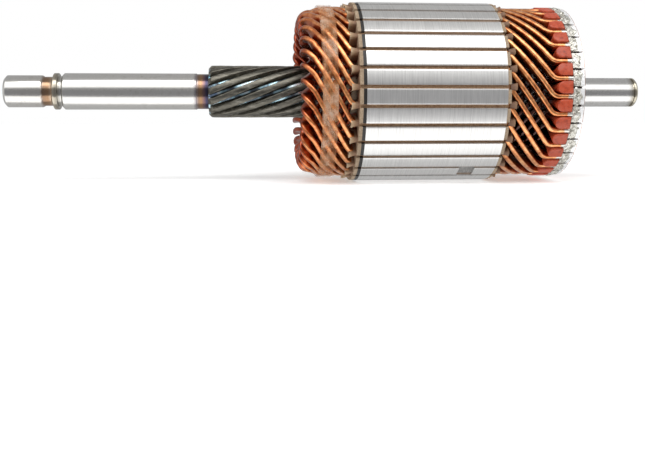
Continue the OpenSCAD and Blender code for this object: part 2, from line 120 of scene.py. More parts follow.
def make_ground_steel():
    """Ground and turned steel: rings of fine tool marks round the shaft, darker and browner
    bands over the grooves, and temper colours on the neck beside the spline."""
    made, tree, surface, mm = finish("ground_steel", Metallic=1.0)
    along = add(tree, "SeparateXYZ", {"Vector": mm}).outputs["X"]
    # Tool marks about 0.25 mm apart, drawn a little coarser so that they show
    marks = add(tree, "TexNoise", {"W": along, "Scale": 2.6, "Detail": 5.0,
                                   "Roughness": 0.7}, noise_dimensions="1D")
    grain = add(tree, "TexNoise", {"Vector": mm, "Scale": 0.5, "Detail": 6.0,
                                   "Roughness": 0.65})
    # The colours follow the shaft from end to end, and the edges of each wander by a few
    # tenths of a millimetre
    wander = add(tree, "Math", {0: grain, 1: 0.7, 2: along}, operation="MULTIPLY_ADD")
    place = add(tree, "MapRange", {"Value": wander, "From Min": -146.0, "From Max": 84.0})
    tint = add(tree, "ValToRGB", {"Fac": place}, ramp=[
        (0.0, "#d8d7d4"), (1.0, "#c9c3b4"), (0.0595, "#d4d1cc"), (0.0626, "#8f745f"),
        (0.0726, "#a58468"), (0.0770, "#c8bfae"), (0.0839, "#8c877c"), (0.0908, "#dad9d6"),
        (0.2864, "#dad8d4"), (0.2905, "#6d5f6c"), (0.2952, "#a08058"), (0.2996, "#8d6c5c"),
        (0.3030, "#4c4864"), (0.3074, "#38353c"), (0.3200, "#55514c"), (0.4700, "#6a645c"),
        (0.5200, "#d2d1cf"), (0.9700, "#d9d8d6"), (0.9780, "#8f8878"), (0.9830, "#cfc8b6")])
    tarnish = add(tree, "ValToRGB", {"Fac": grain}, ramp=[
        (0.55, "#ffffff"), (0.85, "#e4e1dc")])
    add(tree, "Mix", {"Factor": 1.0, "A": tint, "B": tarnish}, to=surface["Base Color"],
        data_type="RGBA", blend_type="MULTIPLY")
    add(tree, "MapRange", {"Value": marks, "From Min": 0.3, "From Max": 0.75,
                           "To Min": 0.16, "To Max": 0.28}, to=surface["Roughness"])
    add(tree, "Bump", {"Height": marks, "Strength": 0.08, "Distance": 0.00004},
        to=surface["Normal"])
    return made


def make_black_oxide():
    """Blackened, hardened steel of the spline: a dark oily film, olive to brown, with
    small pits where it has flaked."""
    made, tree, surface, mm = finish("black_oxide_steel", Metallic=1.0)
    drawn = add(tree, "Mapping", {"Vector": mm, "Scale": (0.3, 1.0, 1.0)})
    grain = add(tree, "TexNoise", {"Vector": drawn, "Scale": 0.9, "Detail": 7.0,
                                   "Roughness": 0.7})
    add(tree, "ValToRGB", {"Fac": grain}, to=surface["Base Color"], ramp=[
        (0.3, "#45433d"), (0.75, "#a8a69b"), (0.55, "#716e65")])
    add(tree, "MapRange", {"Value": grain, "From Min": 0.3, "From Max": 0.7,
                           "To Min": 0.34, "To Max": 0.5}, to=surface["Roughness"])
    add(tree, "Bump", {"Height": grain, "Strength": 0.3, "Distance": 0.0001},
        to=surface["Normal"])
    return made


def make_rolled_groove():
    """Rolled grooves of the spline: smooth, with a painted blue and violet reflection that
    comes and goes along the tooth."""
    made, tree, surface, mm = finish("rolled_groove_steel", Metallic=1.0)
    colour_variation = add(tree, "TexNoise", {"Vector": mm, "Scale": 0.22, "Detail": 3.0})
    # Painted reflection: the blue and violet tint, light and dark in patches
    add(tree, "ValToRGB", {"Fac": colour_variation}, to=surface["Base Color"], ramp=[
        (0.3, "#30343a"), (0.72, "#8ea6c4"), (0.42, "#66727c"), (0.5, "#9cc0cc"),
        (0.6, "#d3dee2")])
    grain = add(tree, "TexNoise", {"Vector": mm, "Scale": 1.5, "Detail": 5.0})
    add(tree, "MapRange", {"Value": grain, "From Min": 0.3, "From Max": 0.7,
                           "To Min": 0.12, "To Max": 0.26}, to=surface["Roughness"])
    add(tree, "Bump", {"Height": grain, "Strength": 0.15, "Distance": 0.0001},
        to=surface["Normal"])
    return made


def make_core_steel():
    """Turned edge of electrical steel laminations: some ninety sheet edges 0.5 mm thick,
    with fine scratches round the core and a thin grey oxide."""
    made, tree, surface, mm = finish("lamination_steel", Metallic=0.92)
    along = add(tree, "SeparateXYZ", {"Vector": mm}).outputs["X"]
    sheets = add(tree, "TexNoise", {"W": along, "Scale": 3.0, "Detail": 4.0,
                                    "Roughness": 0.75}, noise_dimensions="1D")
    stretched = add(tree, "Mapping", {"Vector": mm, "Scale": (3.0, 0.12, 0.12)})
    scratches = add(tree, "TexNoise", {"Vector": stretched, "Scale": 1.0, "Detail": 6.0,
                                       "Roughness": 0.7})
    both = add(tree, "Math", {0: sheets, 1: scratches}, operation="ADD")
    evened = add(tree, "Math", {0: both, 1: 0.5}, operation="MULTIPLY")
    add(tree, "ValToRGB", {"Fac": evened}, to=surface["Base Color"], ramp=[
        (0.3, "#c2c1bf"), (0.7, "#ecebe9"), (0.5, "#dcdbd9")])
    add(tree, "MapRange", {"Value": both, "From Min": 0.7, "From Max": 1.3,
                           "To Min": 0.28, "To Max": 0.4}, to=surface["Roughness"])
    add(tree, "Bump", {"Height": both, "Strength": 0.2, "Distance": 0.00006},
        to=surface["Normal"])
    return made


def make_milled_steel():
    """The floor of the balance cut: milled across the sheets, duller and darker than the
    turned edge, with cutter marks about 0.3 mm apart."""
    made, tree, surface, mm = finish("milled_lamination_steel", Metallic=1.0)
    across = add(tree, "Mapping", {"Vector": mm, "Scale": (3.5, 0.4, 0.4)})
    marks = add(tree, "TexNoise", {"Vector": across, "Scale": 1.0, "Detail": 5.0})
    add(tree, "ValToRGB", {"Fac": marks}, to=surface["Base Color"], ramp=[
        (0.35, "#8a8886"), (0.65, "#b4b2af")])
    add(tree, "MapRange", {"Value": marks, "To Min": 0.4, "To Max": 0.55},
        to=surface["Roughness"])
    add(tree, "Bump", {"Height": marks, "Strength": 0.3, "Distance": 0.0001},
        to=surface["Normal"])
    return made


def make_enamelled_copper():
    """Flat copper bars under baked amber enamel: bright on the outer edges, painted darker
    deeper in, as shade between the bars together with varnish and brush dust, and tinned
    where they enter the risers."""
    made, tree, surface, mm = finish("enamelled_copper", Metallic=1.0, Coat_Weight=0.7,
                                     Coat_Roughness=0.12)
    parts = add(tree, "SeparateXYZ", {"Vector": mm}).outputs
    cloud = add(tree, "TexNoise", {"Vector": mm, "Scale": 0.5, "Detail": 5.0,
                                   "Roughness": 0.6})
    copper = add(tree, "ValToRGB", {"Fac": cloud}, ramp=[
        (0.3, "#b86a38"), (0.72, "#fbc48a"), (0.5, "#e89a5e")])
    # Painted shade, together with varnish and dust, darkens the bars towards the shaft:
    # brown at the drive end, and almost black at the commutator end
    round_shaft = add(tree, "CombineXYZ", {"Y": parts["Y"], "Z": parts["Z"]})
    depth = add(tree, "VectorMath", {0: round_shaft}, operation="LENGTH")
    ragged_depth = add(tree, "Math", {0: cloud, 1: 1.5, 2: depth},
                       operation="MULTIPLY_ADD")
    depth_shade_and_dirt = add(tree, "MapRange", {"Value": ragged_depth, "From Min": 26.0,
                                  "From Max": 31.0})
    drive_end_shade_and_dirt = add(tree, "ValToRGB", {"Fac": depth_shade_and_dirt}, ramp=[
        (0.0, "#a8684a"), (1.0, "#ffffff"), (0.40, "#cf9c80"), (0.75, "#f6e4d6")])
    commutator_end_shade_and_dirt = add(tree, "ValToRGB", {"Fac": depth_shade_and_dirt}, ramp=[
        (0.0, "#38261f"), (1.0, "#ffffff"), (0.45, "#7c5442"), (0.75, "#ead4c4")])
    end = add(tree, "MapRange", {"Value": parts["X"], "From Min": -5.0, "From Max": 5.0})
    shade_and_dirt = add(tree, "Mix", {"Factor": end, "A": drive_end_shade_and_dirt, "B": commutator_end_shade_and_dirt}, data_type="RGBA")
    shaded = add(tree, "Mix", {"Factor": 1.0, "A": copper, "B": shade_and_dirt},
                 data_type="RGBA", blend_type="MULTIPLY")
    # Tin has crept up the bars from the risers, to an uneven line
    ragged_end = add(tree, "Math", {0: cloud, 1: 1.6, 2: parts["X"]},
                     operation="MULTIPLY_ADD")
    tinned = add(tree, "MapRange", {"Value": ragged_end, "From Min": 45.1,
                                    "From Max": 45.6})
    add(tree, "Mix", {"Factor": tinned, "A": shaded, "B": srgb("#d6d4cc")},
        to=surface["Base Color"], data_type="RGBA")
    add(tree, "MapRange", {"Value": cloud, "From Min": 0.3, "From Max": 0.7,
                           "To Min": 0.26, "To Max": 0.42}, to=surface["Roughness"])
    add(tree, "Bump", {"Height": cloud, "Strength": 0.15, "Distance": 0.0002},
        to=surface["Normal"])
    return made


def make_board(name, light, dark, roughness):
    """Pressed paper, fibre board, a near-black sheet, or moulding painted near black as
    shade:
    matt, mottled by fibres and dust in flecks of about 0.6 mm."""
    made, tree, surface, mm = finish(name, Roughness=roughness)
    fibres = add(tree, "TexNoise", {"Vector": mm, "Scale": 1.6, "Detail": 8.0,
                                    "Roughness": 0.75})
    add(tree, "ValToRGB", {"Fac": fibres}, to=surface["Base Color"], ramp=[
        (0.32, dark), (0.68, light)])
    add(tree, "Bump", {"Height": fibres, "Strength": 0.3, "Distance": 0.0001},
        to=surface["Normal"])
    return made


def make_cuff_paper():
    """Insulating paper of the cuffs: painted dark brown where it leaves the slot, as shade
    between the bars together with varnish, pale and frayed at the cut edge."""
    made, tree, surface, mm = finish("cuff_paper", Roughness=0.7)
    along = add(tree, "SeparateXYZ", {"Vector": mm}).outputs["X"]
    from_core = add(tree, "Math", {0: along}, operation="ABSOLUTE")
    fibres = add(tree, "TexNoise", {"Vector": mm, "Scale": 1.6, "Detail": 8.0,
                                    "Roughness": 0.75})
    ragged = add(tree, "Math", {0: fibres, 1: 2.4, 2: from_core}, operation="MULTIPLY_ADD")
    # Painted shade: the paper darkens towards the core, where it lies between and under the
    # bars
    out = add(tree, "MapRange", {"Value": ragged, "From Min": 26.8, "From Max": 30.0})
    add(tree, "ValToRGB", {"Fac": out}, to=surface["Base Color"], ramp=[
        (0.0, "#7c5e4b"), (1.0, "#f1e7cd"), (0.45, "#957559"), (0.78, "#b89e7e")])
    add(tree, "Bump", {"Height": fibres, "Strength": 0.4, "Distance": 0.00015},
        to=surface["Normal"])
    return made


def make_glass_band():
    """Glass roving wound round the bars and soaked in resin: glossy, brownish orange and
    partly see-through, with strands about 0.5 mm wide."""
    made, tree, surface, mm = finish("resin_glass_band", Roughness=0.3, Coat_Weight=0.3)
    along = add(tree, "SeparateXYZ", {"Vector": mm}).outputs["X"]
    strands = add(tree, "TexNoise", {"W": along, "Scale": 1.8, "Detail": 3.0},
                  noise_dimensions="1D")
    clouds = add(tree, "TexNoise", {"Vector": mm, "Scale": 0.22, "Detail": 4.0,
                                    "Roughness": 0.6})
    add(tree, "ValToRGB", {"Fac": clouds}, to=surface["Base Color"], ramp=[
        (0.3, "#c4783e"), (0.7, "#dcc0a8"), (0.5, "#d0925e")])
    mixed = add(tree, "Math", {0: strands, 1: 0.3, 2: clouds}, operation="MULTIPLY_ADD")
    add(tree, "MapRange", {"Value": mixed, "From Min": 0.52, "From Max": 0.85,
                           "To Min": 0.08, "To Max": 0.56}, to=surface["Alpha"])
    add(tree, "Bump", {"Height": mixed, "Strength": 0.25, "Distance": 0.0002},
        to=surface["Normal"])
    return made


def make_moulding():
    """Red-brown phenolic moulding, satin, with a pale dusty bloom in patches."""
    made, tree, surface, mm = finish("phenolic_moulding", Roughness=0.42)
    bloom = add(tree, "TexNoise", {"Vector": mm, "Scale": 0.6, "Detail": 6.0,
                                   "Roughness": 0.7})
    add(tree, "ValToRGB", {"Fac": bloom}, to=surface["Base Color"], ramp=[
        (0.3, "#84301c"), (0.8, "#c08c84"), (0.5, "#bc4a2a"), (0.66, "#b25a46")])
    add(tree, "Bump", {"Height": bloom, "Strength": 0.2, "Distance": 0.0001},
        to=surface["Normal"])
    return made


def make_segment_copper():
    """Commutator segments: tinned and pitted with flux where the bars are soldered in, a
    pale rim beyond, and copper turned in fine rings across the brush face."""
    made, tree, surface, mm = finish("commutator_copper")
    parts = add(tree, "SeparateXYZ", {"Vector": mm}).outputs
    cloud = add(tree, "TexNoise", {"Vector": mm, "Scale": 1.2, "Detail": 5.0})
    ragged = add(tree, "Math", {0: cloud, 1: 0.5, 2: parts["X"]}, operation="MULTIPLY_ADD")
    place = add(tree, "MapRange", {"Value": ragged, "From Min": 46.0, "From Max": 51.0})
    tin = add(tree, "ValToRGB", {"Fac": place}, ramp=[
        (0.0, "#cfccc3"), (1.0, "#ffffff"), (0.52, "#e2dfd5"), (0.60, "#ffffff")])
    flux = add(tree, "TexNoise", {"Vector": mm, "Scale": 0.8, "Detail": 6.0,
                                  "Roughness": 0.6})
    rim = add(tree, "MapRange", {"Value": ragged, "From Min": 48.8, "From Max": 49.2,
                                 "To Max": 0.3})
    pitted = add(tree, "Math", {0: flux, 1: rim}, operation="SUBTRACT")
    pits = add(tree, "ValToRGB", {"Fac": pitted}, ramp=[
        (0.52, "#ffffff"), (0.68, "#6b5c4a")])
    outside = add(tree, "MapRange", {"Value": parts["X"], "From Min": 49.9,
                                     "From Max": 50.05, "To Min": 1.0, "To Max": 0.0})
    soldered = add(tree, "Mix", {"Factor": outside, "A": tin, "B": pits},
                   data_type="RGBA", blend_type="MULTIPLY")
    # Rings of the facing cut, about 0.4 mm apart
    round_shaft = add(tree, "CombineXYZ", {"Y": parts["Y"], "Z": parts["Z"]})
    radius = add(tree, "VectorMath", {0: round_shaft}, operation="LENGTH")
    rings = add(tree, "TexNoise", {"W": radius, "Scale": 2.5, "Detail": 4.0},
                noise_dimensions="1D")
    colour_variation = add(tree, "ValToRGB", {"Fac": rings}, ramp=[
        (0.35, "#b8a8a0"), (0.65, "#ffffff")])
    faced = add(tree, "Mix", {"Factor": 1.0, "A": srgb("#dc9468"), "B": colour_variation},
                data_type="RGBA", blend_type="MULTIPLY")
    add(tree, "Mix", {"Factor": outside, "A": faced, "B": soldered},
        to=surface["Base Color"], data_type="RGBA")
    add(tree, "MapRange", {"Value": outside, "To Min": 1.0, "To Max": 0.5},
        to=surface["Metallic"])
    add(tree, "MapRange", {"Value": outside, "To Min": 0.28, "To Max": 0.36},
        to=surface["Roughness"])
    height = add(tree, "Mix", {"Factor": outside, "A": rings, "B": flux},
                 data_type="FLOAT")
    force = add(tree, "MapRange", {"Value": outside, "To Min": 0.1, "To Max": 0.6})
    add(tree, "Bump", {"Height": height, "Strength": force, "Distance": 0.0004},
        to=surface["Normal"])
    return made


def make_solder():
    """Bright tin solder, dull where flux has dried on it."""
    made, tree, surface, mm = finish("tin_solder", Metallic=0.65)
    cloud = add(tree, "TexNoise", {"Vector": mm, "Scale": 0.9, "Detail": 6.0,
                                   "Roughness": 0.65})
    add(tree, "ValToRGB", {"Fac": cloud}, to=surface["Base Color"], ramp=[
        (0.34, "#6f6a5e"), (0.7, "#f2f1ec"), (0.48, "#d2cfc4")])
    add(tree, "MapRange", {"Value": cloud, "From Min": 0.3, "From Max": 0.7,
                           "To Min": 0.16, "To Max": 0.4}, to=surface["Roughness"])
    add(tree, "Bump", {"Height": cloud, "Strength": 0.6, "Distance": 0.0005},
        to=surface["Normal"])
    return made


ground_steel = make_ground_steel()
black_oxide = make_black_oxide()
rolled_groove = make_rolled_groove()
core_steel = make_core_steel()
milled_steel = make_milled_steel()
copper = make_enamelled_copper()
fibre_board = make_board("fibre_board", "#b8a288", "#84705a", 0.8)
cuff_paper = make_cuff_paper()
slot_paper = make_board("slot_paper", "#c4a07c", "#7a5438", 0.6)
# The end sheet is coloured near black, darker than the core beside it
dark_sheet = make_board("near_black_end_sheet", "#2b2723", "#151210", 0.45)
glass_band = make_glass_band()
moulding = make_moulding()
# Painted shade: the ribs are near black for the gaps between the commutator segments
rib_moulding = make_board("painted_shade_rib_moulding", "#3c2620", "#140d0b", 0.7)
segment_copper = make_segment_copper()
solder = make_solder()


# ---------- making pieces ----------

def settle(bm, name, materials, replaced, smooth=35):
    """Turns a mesh laid out in millimetres into a piece in its place."""
    bmesh.ops.recalc_face_normals(bm, faces=bm.faces)
    bmesh.ops.transform(bm, matrix=to_frame, verts=bm.verts)
    mesh = bpy.data.meshes.new(name)
    bm.to_mesh(mesh)
    bm.free()
    for material in materials if isinstance(materials, list) else [materials]:
        mesh.materials.append(material)
    for face in mesh.polygons:
        face.use_smooth = True
    mesh.set_sharp_from_angle(angle=math.radians(smooth))
    piece = bpy.data.objects.new(name, mesh)
    scene.collection.objects.link(piece)
    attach(piece, "root")
    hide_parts(*replaced)


def turn(angle):
    """The turn about the shaft by an angle."""
    return Matrix.Rotation(-math.radians(angle), 4, "X")


def polar(x, angle, r):
    a = math.radians(angle)
    return Vector((x, -r * math.cos(a), r * math.sin(a)))


def off_axis(point):
    return math.hypot(point.y, point.z)


def verts_of(geom):
    return [g for g in geom if isinstance(g, bmesh.types.BMVert)]


def wire(bm, points, closed=False):
    """Edges through a few points."""
    verts = [bm.verts.new(p) for p in points]
    pairs = list(zip(verts, verts[1:])) + ([(verts[-1], verts[0])] if closed else [])
    return [bm.edges.new(pair) for pair in pairs]


def revolve(bm, profile, steps=96):
    """Turns a half section of (station, radius) points about the shaft."""
    edges = wire(bm, [(x, -r, 0) for x, r in profile])
    bmesh.ops.spin(bm, geom=edges + list(bm.verts), cent=(0, 0, 0), axis=(1, 0, 0),
                   angle=math.tau, steps=steps, use_merge=True, use_duplicate=False)
    bmesh.ops.remove_doubles(bm, verts=bm.verts, dist=0.0005)


def soften(bm, edges, offset, segments=2):
    bmesh.ops.bevel(bm, geom=edges, offset=offset, offset_type="OFFSET", segments=segments,
                    profile=0.5, affect="EDGES", material=-1, clamp_overlap=True)


def sharp_edges(bm, least):
    """Edges whose faces meet at more than so many degrees."""
    return [e for e in bm.edges
            if len(e.link_faces) == 2 and e.calc_face_angle(0) > math.radians(least)]


def extruded_edges(bm, edges):
    """Extrudes a closed section where it is, and gives its new edges and vertices."""
    made = bmesh.ops.extrude_edge_only(bm, edges=edges)["geom"]
    return [g for g in made if isinstance(g, bmesh.types.BMEdge)], verts_of(made)


def stand_on_shaft(bm, verts):
    """Tips what is drawn with its outside up, so that it points outwards at -Y."""
    bmesh.ops.rotate(bm, cent=(0, 0, 0), matrix=Matrix.Rotation(math.radians(90), 3, "X"),
                     verts=verts)


def round_the_slots(bm):
    """Copies what is drawn on the -Y side to every slot."""
    bmesh.ops.transform(bm, matrix=turn(SLOT_TURN), verts=bm.verts)
    bmesh.ops.spin(bm, geom=list(bm.verts) + list(bm.edges) + list(bm.faces),
                   cent=(0, 0, 0), axis=(1, 0, 0), steps=SLOTS - 1,
                   angle=-math.radians(PITCH * (SLOTS - 1)),
                   use_merge=False, use_duplicate=True)


# ---------- shaft ----------

SPLINE_START, SPLINE_IN = -75.4, -40.0
SPLINE_R, SPLINE_ROOT, SPLINE_CROWN = 9.15, 7.45, 0.02
SPLINE_TEETH, SPLINE_LEAD, SPLINE_TURN = 14, 130.0, 24
SPLINE_SINK = 0.4                   # into the shoulder behind it
TOP_HALF, FOOT_HALF = 0.27, 0.40    # half widths of a tooth, in parts of a tooth pitch
CHAMFER_LENGTH, CHAMFER_R = 0.9, 8.15
GROOVE_R = 8.0
SPLINE_STEPS = 72

bm = bmesh.new()
revolve(bm, [
    # Drive-end journal, oil groove, collar and the groove of its stop ring
    (-145.4, 0), (-145.4, 4.55), (-144.5, 5.55), (-132.8, 5.55), (-132.2, 5.25),
    (-132.2, 5.05), (-129.2, 5.05), (-128.6, 6.35), (-127.2, 6.35), (-127.0, 6.15),
    (-127.0, 5.25), (-125.7, 5.25), (-125.7, 5.75), (-125.1, 6.35),
    # Plain seat of the drive, neck, the shaft inside the spline, and shoulder
    (-79.7, 6.35), (-79.5, 6.15), (-73.4, 6.15), (-73.4, 7.2), (-40.0, 7.2),
    (-40.0, 9.3), (-26.1, 9.3),
    # Seats of the core and the commutator, journal, ring groove and end
    (-26.1, 8.5), (24.6, 8.5), (25.6, 7.2), (50.9, 7.2), (50.9, 5.25), (78.3, 5.25),
    (78.3, 4.75), (78.9, 4.75), (78.9, 5.25), (79.7, 5.25), (80.3, 4.65), (80.3, 0)])
soften(bm, sharp_edges(bm, 20), 0.1)
settle(bm, "shaft_turned", ground_steel, ["shaft"])

bm = bmesh.new()
tooth = 360 / SPLINE_TEETH
outline = []
for i in range(SPLINE_TEETH):
    middle = i * tooth + SPLINE_TURN
    for part, r in ((-FOOT_HALF, SPLINE_ROOT), (-TOP_HALF, SPLINE_R),
                    (0, SPLINE_R + SPLINE_CROWN), (TOP_HALF, SPLINE_R),
                    (FOOT_HALF, SPLINE_ROOT)):
        outline.append(polar(SPLINE_START, middle + part * tooth, r))
edges = wire(bm, outline, closed=True)
length = SPLINE_IN + SPLINE_SINK - SPLINE_START
bmesh.ops.spin(bm, geom=edges + list(bm.verts), cent=(0, 0, 0), axis=(1, 0, 0),
               dvec=(length / SPLINE_STEPS, 0, 0),
               angle=-math.tau * length / SPLINE_LEAD, steps=SPLINE_STEPS,
               use_merge=False, use_duplicate=False)
for v in bm.verts:
    if v.co.x < SPLINE_START + CHAMFER_LENGTH:
        r, limit = off_axis(v.co), CHAMFER_R + (v.co.x - SPLINE_START)
        if r > limit:
            v.co.y *= limit / r
            v.co.z *= limit / r
bmesh.ops.holes_fill(bm, edges=[e for e in bm.edges if len(e.link_faces) == 1], sides=0)
bmesh.ops.recalc_face_normals(bm, faces=bm.faces)
soften(bm, [e for e in sharp_edges(bm, 28)
            if min(off_axis(v.co) for v in e.verts) > GROOVE_R], 0.22)
for face in bm.faces:
    if abs(face.normal.x) < 0.7 and off_axis(face.calc_center_median()) < GROOVE_R:
        face.material_index = 1
settle(bm, "shaft_spline", [black_oxide, rolled_groove], ["shaft"], smooth=40)


# ---------- core ----------

def slotted_outline(r, mouth, body, top_r, floor_r, arc_steps=8):
    """Outline of one slot pitch of the core, from the middle of one slot to the next."""
    half_mouth = math.degrees(math.asin(mouth / 2 / r))
    side = [polar(0, 0, floor_r)]
    for half, at in ((body / 2, floor_r), (body / 2, top_r), (mouth / 2, top_r)):
        side.append(Vector((0, -math.sqrt(at * at - half * half), half)))
    arc = [polar(0, half_mouth + (PITCH - 2 * half_mouth) * k / arc_steps, r)
           for k in range(arc_steps + 1)]
    far = [turn(PITCH) @ Vector((p.x, p.y, -p.z)) for p in reversed(side)]
    return side + arc + far


def slotted_block(x0, x1, r, mouth=1.25, body=2.3, top_r=30.7, floor_r=21.2):
    """A slotted disc or stack between two stations."""
    bm = bmesh.new()
    wire(bm, slotted_outline(r, mouth, body, top_r, floor_r))
    round_the_slots(bm)
    bmesh.ops.remove_doubles(bm, verts=bm.verts, dist=0.001)
    bmesh.ops.contextual_create(bm, geom=bm.edges)
    bmesh.ops.translate(bm, vec=(x0, 0, 0), verts=bm.verts)
    top = bmesh.ops.extrude_face_region(bm, geom=list(bm.faces))
    bmesh.ops.translate(bm, vec=(x1 - x0, 0, 0), verts=verts_of(top["geom"]))
    bmesh.ops.recalc_face_normals(bm, faces=bm.faces)
    return bm


bm = slotted_block(-CORE_END, CORE_END, CORE_R)
# A flat milled off one tooth to balance the armature. Each end wall of the cut stands
# between two section lines that lie WALL apart.
CUT_START, CUT_END, CUT_R = 10.8, 16.1, 30.95
WALL = 0.01
TOOTH_HALF, FLAT_HALF = 3, 2.5
# What lies beyond these distances is the top of a tooth, and the edge of a slot mouth
TOOTH_TOP, MOUTH_EDGE = 30.9, 31.6
FLAT_TOP = 31.3                     # the flat lies below this
balanced = SLOT_TURN - 5.5 * PITCH


def at_cut(point):
    """A point as it lies once the balanced tooth is turned to -Y."""
    return turn(-balanced) @ point


for x in (CUT_START - WALL, CUT_START, CUT_END, CUT_END + WALL):
    tooth_top = [f for f in bm.faces
                 if abs(f.normal.x) < 0.1 and at_cut(f.calc_center_median()).y < -TOOTH_TOP
                 and abs(at_cut(f.calc_center_median()).z) < TOOTH_HALF]
    around = dict.fromkeys([e for f in tooth_top for e in f.edges]
                           + [v for f in tooth_top for v in f.verts])
    bmesh.ops.bisect_plane(bm, geom=tooth_top + list(around), plane_co=(x, 0, 0),
                           plane_no=(1, 0, 0))
for v in bm.verts:
    here = at_cut(v.co)
    if (CUT_START - WALL / 2 < here.x < CUT_END + WALL / 2 and here.y < -TOOTH_TOP
            and abs(here.z) < TOOTH_HALF):
        v.co = turn(balanced) @ Vector((here.x, -CUT_R, here.z))
# Only the long edges of the slot mouths are broken
soften(bm, [e for e in sharp_edges(bm, 40)
            if abs(e.verts[0].co.x - e.verts[1].co.x) > 1
            and off_axis(e.verts[0].co) > MOUTH_EDGE], 0.12)
for face in bm.faces:
    here = at_cut(face.calc_center_median())
    if (CUT_START < here.x < CUT_END and -FLAT_TOP < here.y < -TOOTH_TOP
            and abs(here.z) < FLAT_HALF):
        face.material_index = 1
settle(bm, "core_stack", [core_steel, milled_steel], ["core_laminations"],
       smooth=25)

bm = slotted_block(-CORE_END - END_SHEET_T, -CORE_END, CORE_R - 0.15)
settle(bm, "end_sheet", dark_sheet, ["end_lamination"], smooth=25)

bm = slotted_block(-DRIVE_DISC_END, -CORE_END - END_SHEET_T, CORE_R - 0.1)
soften(bm, sharp_edges(bm, 50), 0.08)
settle(bm, "drive_end_board", fibre_board, ["drive_end_disc"], smooth=25)

bm = slotted_block(CORE_END, COMMUTATOR_DISC_END, CORE_R - 0.1, mouth=1.75, body=2.8)
soften(bm, sharp_edges(bm, 50), 0.08)
settle(bm, "commutator_end_board", fibre_board, ["commutator_end_disc"],
       smooth=25)


# ---------- winding ----------
# A bar's path is a list of (station, angle, radius, tilt), where the tilt turns the bar
# over in its nose, in radians.

COIL_SPAN, RISER_SHIFT = 9, 3.5     # in slot pitches
HALF_SPAN = COIL_SPAN / 2 * PITCH
TIP_GAP = 0.3                       # between the two layers of a bar at its nose
TIP_SET, TIP_SET_LENGTH = 1.5, 4    # the noses are set inwards over this length
OVERHANG = 21.2                     # of the noses beyond the core
NOSE_TURN_R = (UPPER_R - LOWER_R) / 2 + TIP_GAP
NOSE_X = CORE_END + OVERHANG - NOSE_TURN_R - BAR_H / 2
NOSE_R = (UPPER_R + LOWER_R) / 2 - TIP_SET
NOSE_STEPS = 16
DRIVE_BEND, BEND_R = DRIVE_DISC_END + 0.12, 3.4
RISER_BEND, RISER_BEND_IN_R, RISER_BEND_OUT_R = 24.1, 1.0, 3.5
UPPER_ARRIVAL, LOWER_ARRIVAL = CASTELLATION_START + 0.8, CASTELLATION_START - 0.2
BAR_END = RISER_FLOOR - 0.1
BAR_EDGE_R = 0.62


def slant(ahead, aside, a, b, steps=12):
    """Points (ahead, aside) of a bend of radius a, a straight slant and a bend back of
    radius b."""
    run = math.sqrt(ahead ** 2 + (aside - a - b) ** 2 - (a + b) ** 2)
    v = math.atan2(aside - a - b, ahead) + math.atan2(a + b, run)
    x1, y1 = a * math.sin(v), a * (1 - math.cos(v))
    points = [(a * math.sin(v * i / 4), a * (1 - math.cos(v * i / 4))) for i in range(4)]
    points += [(x1 + run * i / steps * math.cos(v), y1 + run * i / steps * math.sin(v))
               for i in range(steps + 1)]
    for i in range(1, 7):
        w = v * (1 - i / 6)
        points.append((ahead - b * math.sin(w), aside - b * (1 - math.cos(w))))
    return points


def riser_leg(angle, r, side, arrive):
    """From the slot to the riser, at the commutator end."""
    aside = math.radians(RISER_SHIFT * PITCH) * r
    leg = [(RISER_BEND + x, angle + side * math.degrees(y / r), r, 0.0)
           for x, y in slant(arrive - RISER_BEND, aside, RISER_BEND_IN_R,
                             RISER_BEND_OUT_R)]
    return leg + [(BAR_END, angle + side * RISER_SHIFT * PITCH, r, 0.0)]


def drive_slope(r):
    """Slope that brings a bar from its bend to the middle of its nose, in radians."""
    ahead = NOSE_X + NOSE_TURN_R - DRIVE_BEND
    aside = math.radians(HALF_SPAN) * r
    run = math.sqrt(ahead ** 2 + (aside - BEND_R) ** 2 - BEND_R ** 2)
    return math.atan2(aside - BEND_R, ahead) + math.atan2(BEND_R, run)


def drive_leg(angle, r, side, steps=14):
    """From the slot to the nose, at the drive end."""
    v = drive_slope(r)
    x1, y1 = BEND_R * math.sin(v), BEND_R * (1 - math.cos(v))
    leg = []
    for i in range(5):
        w = v * i / 5
        leg.append((-DRIVE_BEND - BEND_R * math.sin(w),
                    angle + side * math.degrees(BEND_R * (1 - math.cos(w)) / r), r, 0.0))
    for i in range(steps + 1):
        x = x1 + (NOSE_X - DRIVE_BEND - x1) * i / steps
        t = max(0.0, min(1.0, (DRIVE_BEND + x - NOSE_X + TIP_SET_LENGTH)
                         / TIP_SET_LENGTH))
        inward = (TIP_SET - side * TIP_GAP) * t * t * (3 - 2 * t)
        leg.append((-DRIVE_BEND - x,
                    angle + side * math.degrees((y1 + (x - x1) * math.tan(v)) / r),
                    r - inward, 0.0))
    return leg


def turned_over(leg):
    return [(x, a, r, math.pi) for x, a, r, _ in leg]


def coil_path():
    """From one riser through the upper layer, round the nose and back below."""
    up, down = SLOT_TURN, SLOT_TURN + COIL_SPAN * PITCH
    path = list(reversed(riser_leg(up, UPPER_R, -1, UPPER_ARRIVAL)))
    path += drive_leg(up, UPPER_R, 1)
    for i in range(1, NOSE_STEPS):
        w = math.pi * i / NOSE_STEPS
        r, side = (UPPER_R, -1) if w < math.pi / 2 else (LOWER_R, 1)
        lag = math.degrees(NOSE_TURN_R * math.tan(drive_slope(r)) / r) * (1 - math.sin(w))
        path.append((-NOSE_X - NOSE_TURN_R * math.sin(w), up + HALF_SPAN + side * lag,
                     NOSE_R + NOSE_TURN_R * math.cos(w), w))
    path += turned_over(reversed(drive_leg(down, LOWER_R, -1)))
    path += turned_over(riser_leg(down, LOWER_R, 1, LOWER_ARRIVAL))
    return path


